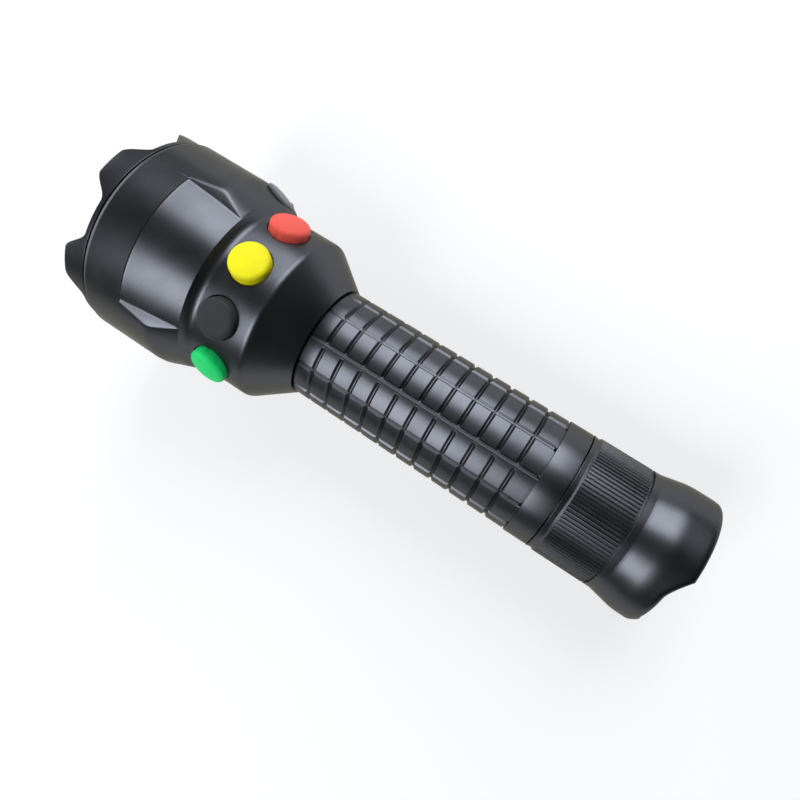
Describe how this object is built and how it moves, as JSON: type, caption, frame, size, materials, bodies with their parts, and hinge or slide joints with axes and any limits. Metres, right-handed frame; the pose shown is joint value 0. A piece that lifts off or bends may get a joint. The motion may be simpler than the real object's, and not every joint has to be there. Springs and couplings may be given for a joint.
{
  "type": "pocket signal lamp",
  "caption": "Hand torch with toothed bezel, finger pockets, coloured buttons on a ring behind the head, grooved grip and knurled screw cap with a tail button.",
  "frame": {"origin": "on the lamp's axis, halfway between the tips of the bezel's teeth and the tail cap's rim", "axes": "+X along the lamp from head to tail, +Z out through the middle of the button panel, +Y towards the red button's side"},
  "size_m": [0.1552, 0.052, 0.052],
  "materials": {
    "black_anodised": "bead-blasted, black anodised, satin",
    "bare_aluminium": "machined",
    "plated_steel": "nickel plated",
    "gold_plated_brass": "gold plated",
    "mirrored_bowl": "mirror bright",
    "lens_glass": "clear, polished",
    "seal_rubber": "smooth",
    "black_rubber": "matte",
    "grey_rubber": "matte",
    "red_rubber": "matte",
    "yellow_rubber": "matte",
    "green_rubber": "matte",
    "circuit_board": "solder mask",
    "black_plastic": "moulded",
    "cell_wrap": "shrunk film wrap",
    "white_emitter": "phosphor under a clear dome",
    "red_emitter": "clear dome",
    "yellow_emitter": "clear dome",
    "green_emitter": "clear dome"
  },
  "bodies": {
    "torch": {"bezel_ring": "black_anodised", "front_lens": "lens_glass", "lens_seal": "seal_rubber", "reflector": "mirrored_bowl", "white_led": "white_emitter", "red_led": "red_emitter", "yellow_led": "yellow_emitter", "green_led": "green_emitter", "led_board": "circuit_board", "board_screw_1": "plated_steel", "board_screw_2": "plated_steel", "heat_sink": "bare_aluminium", "charge_socket": "plated_steel", "charge_board": "circuit_board", "head_housing": "black_anodised", "red_switch": "black_plastic", "yellow_switch": "black_plastic", "white_switch": "black_plastic", "green_switch": "black_plastic", "switch_carrier": "black_plastic", "driver_board": "circuit_board", "red_lead": "red_rubber", "black_lead": "black_rubber", "front_contact": "gold_plated_brass", "grip_tube": "black_anodised", "neck_seal": "seal_rubber", "tail_seal": "seal_rubber", "battery_cell": "cell_wrap"},
    "red_pad": {"red_button": "red_rubber"},
    "yellow_pad": {"yellow_button": "yellow_rubber"},
    "white_pad": {"white_button": "black_rubber"},
    "green_pad": {"green_button": "green_rubber"},
    "socket_plug": {"charge_plug": "grey_rubber"},
    "spring": {"tail_spring": "plated_steel"},
    "cap": {"tail_cap": "black_anodised", "tail_contact_board": "circuit_board", "tail_switch": "black_plastic", "switch_retainer": "bare_aluminium"},
    "tail_pad": {"tail_boot": "black_rubber"}
  },
  "joints": [
    {"name": "red_press", "type": "slide", "parent": "torch", "child": "red_pad", "axis": [0, -0.8317, -0.5553], "range_m": [0, 0.0006], "stiffness_N_per_m": 1500, "springref_m": -0.0003},
    {"name": "yellow_press", "type": "slide", "parent": "torch", "child": "yellow_pad", "axis": [0, -0.3216, -0.9469], "range_m": [0, 0.0006], "stiffness_N_per_m": 1500, "springref_m": -0.0003},
    {"name": "white_press", "type": "slide", "parent": "torch", "child": "white_pad", "axis": [0, 0.3216, -0.9469], "range_m": [0, 0.0006], "stiffness_N_per_m": 1500, "springref_m": -0.0003},
    {"name": "green_press", "type": "slide", "parent": "torch", "child": "green_pad", "axis": [0, 0.8317, -0.5553], "range_m": [0, 0.0006], "stiffness_N_per_m": 1500, "springref_m": -0.0003},
    {"name": "plug_pull", "type": "slide", "parent": "torch", "child": "socket_plug", "axis": [0, 0.9397, -0.342], "range_m": [0, 0.006]},
    {"name": "cap_draw", "type": "slide", "parent": "torch", "child": "spring", "axis": [1, 0, 0], "range_m": [0, 0.0075]},
    {"name": "cap_turn", "type": "hinge", "parent": "spring", "child": "cap", "pos_m": [0, 0, 0], "axis": [1, 0, 0], "range_deg": [0, 1800]},
    {"name": "tail_press", "type": "slide", "parent": "cap", "child": "tail_pad", "axis": [-1, 0, 0], "range_m": [0, 0.0012], "stiffness_N_per_m": 2500, "springref_m": -0.0004}
  ],
  "couplings": [
    {"joint": "cap_draw", "follows": "cap_turn", "m_per_rad": 0.0002387}
  ]
}
